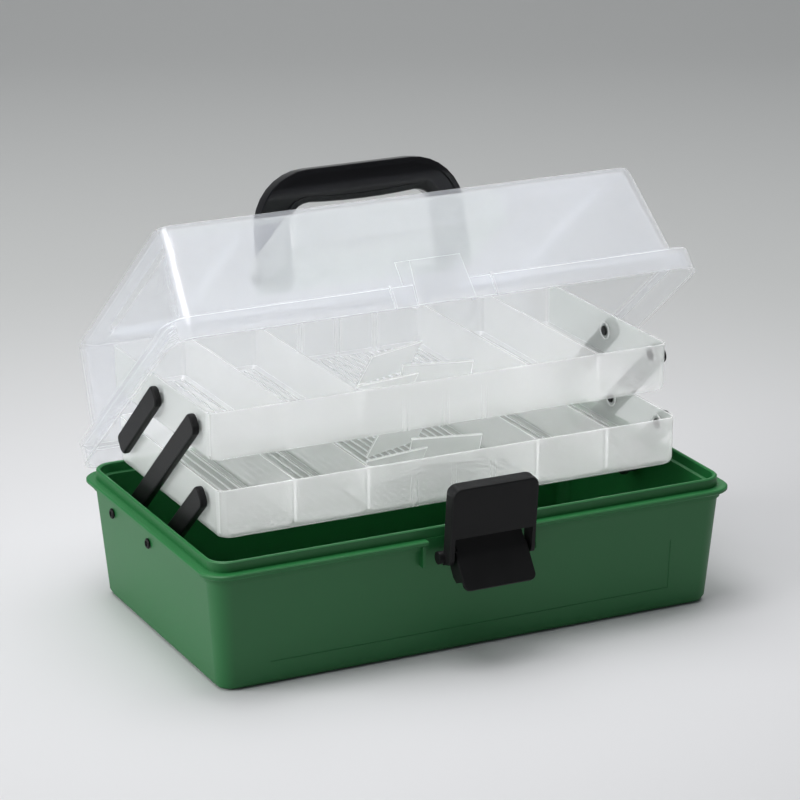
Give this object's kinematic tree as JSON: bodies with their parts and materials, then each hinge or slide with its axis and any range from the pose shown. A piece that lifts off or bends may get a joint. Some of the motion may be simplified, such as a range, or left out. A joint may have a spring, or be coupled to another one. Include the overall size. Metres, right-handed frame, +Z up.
{
  "type": "fishing tackle box",
  "caption": "Fishing tackle box with a green tub, hinged clear lid, cantilever trays on folding arms, over-centre latch and folding carry handle.",
  "frame": {"origin": "centre of the tub's flat underside", "axes": "+Z up, +X along the long front to the right, +Y to the hinged back"},
  "size_m": [0.36, 0.2801, 0.2708],
  "materials": {
    "green_plastic": "satin moulded polypropylene",
    "clear_lid_plastic": "clear polypropylene, slightly hazy",
    "clear_tray_plastic": "translucent polypropylene",
    "black_plastic": "satin black moulding",
    "gloss_black_plastic": "gloss black moulding",
    "steel": "bright drawn wire"
  },
  "bodies": {
    "base": {"base_tub": "green_plastic", "hinge_pin_right": "steel", "hinge_pin_left": "steel", "latch_pin": "steel", "tub_rivet_rear_right": "black_plastic", "tub_rivet_front_right": "black_plastic", "tub_rivet_rear_left": "black_plastic", "tub_rivet_front_left": "black_plastic"},
    "lid": {"lid_shell": "clear_lid_plastic"},
    "handle": {"carry_handle": "gloss_black_plastic"},
    "long_arms": {"long_arm_right": "black_plastic", "long_arm_left": "black_plastic"},
    "front_arms": {"front_arm_right": "black_plastic", "front_arm_left": "black_plastic"},
    "rear_arms": {"rear_arm_right": "black_plastic", "rear_arm_left": "black_plastic"},
    "lower_tray": {"lower_tray": "clear_tray_plastic", "lower_divider_1": "clear_tray_plastic", "lower_divider_2": "clear_tray_plastic", "lower_divider_3": "clear_tray_plastic", "lower_tray_rivet_rear_right": "black_plastic", "lower_tray_rivet_middle_right": "black_plastic", "lower_tray_rivet_front_right": "black_plastic", "lower_tray_rivet_rear_left": "black_plastic", "lower_tray_rivet_middle_left": "black_plastic", "lower_tray_rivet_front_left": "black_plastic"},
    "upper_tray": {"upper_tray": "clear_tray_plastic", "upper_divider_1": "clear_tray_plastic", "upper_divider_2": "clear_tray_plastic", "upper_divider_3": "clear_tray_plastic", "upper_tray_rivet_rear_right": "black_plastic", "upper_tray_rivet_front_right": "black_plastic", "upper_tray_rivet_rear_left": "black_plastic", "upper_tray_rivet_front_left": "black_plastic"},
    "latch_lever": {"latch_lever": "black_plastic"},
    "latch_hasp": {"latch_hasp": "black_plastic"}
  },
  "joints": [
    {"name": "trays_lift", "type": "hinge", "parent": "base", "child": "long_arms", "pos_m": [0, 0.063, 0.064], "axis": [-1, 0, 0], "range_deg": [-12.9, 24]},
    {"name": "front_arms_swing", "type": "hinge", "parent": "base", "child": "front_arms", "pos_m": [0, 0.003, 0.064], "axis": [-1, 0, 0], "range_deg": [-13, 24.1]},
    {"name": "lower_tray_level", "type": "hinge", "parent": "long_arms", "child": "lower_tray", "pos_m": [0, 0.01236, 0.1071], "axis": [-1, 0, 0], "range_deg": [-24.1, 13]},
    {"name": "upper_tray_level", "type": "hinge", "parent": "long_arms", "child": "upper_tray", "pos_m": [0, -0.03828, 0.1502], "axis": [-1, 0, 0], "range_deg": [-24.1, 13]},
    {"name": "rear_arms_swing", "type": "hinge", "parent": "lower_tray", "child": "rear_arms", "pos_m": [0, 0.07236, 0.1071], "axis": [-1, 0, 0], "range_deg": [-13, 24.1]},
    {"name": "lid_open", "type": "hinge", "parent": "base", "child": "lid", "pos_m": [0, 0.108, 0.0784], "axis": [-1, 0, 0], "range_deg": [-38.6, 71.73]},
    {"name": "handle_fold", "type": "hinge", "parent": "lid", "child": "handle", "pos_m": [0, 0.05867, 0.20594], "axis": [-1, 0, 0], "range_deg": [-61, 34]},
    {"name": "latch_lever_swing", "type": "hinge", "parent": "base", "child": "latch_lever", "pos_m": [0, -0.1103, 0.0745], "axis": [-1, 0, 0], "range_deg": [-35, 40]},
    {"name": "latch_hasp_swing", "type": "hinge", "parent": "latch_lever", "child": "latch_hasp", "pos_m": [0, -0.11069, 0.06854], "axis": [1, 0, 0], "range_deg": [-41.6, 47.53]}
  ],
  "couplings": [
    {"joint": "front_arms_swing", "follows": "trays_lift", "ratio": 1},
    {"joint": "lower_tray_level", "follows": "trays_lift", "ratio": -1},
    {"joint": "upper_tray_level", "follows": "trays_lift", "ratio": -1},
    {"joint": "rear_arms_swing", "follows": "trays_lift", "ratio": 1},
    {"joint": "lid_open", "follows": "trays_lift", "ratio": 2.9845},
    {"joint": "latch_hasp_swing", "follows": "latch_lever_swing", "ratio": 1.1857}
  ]
}
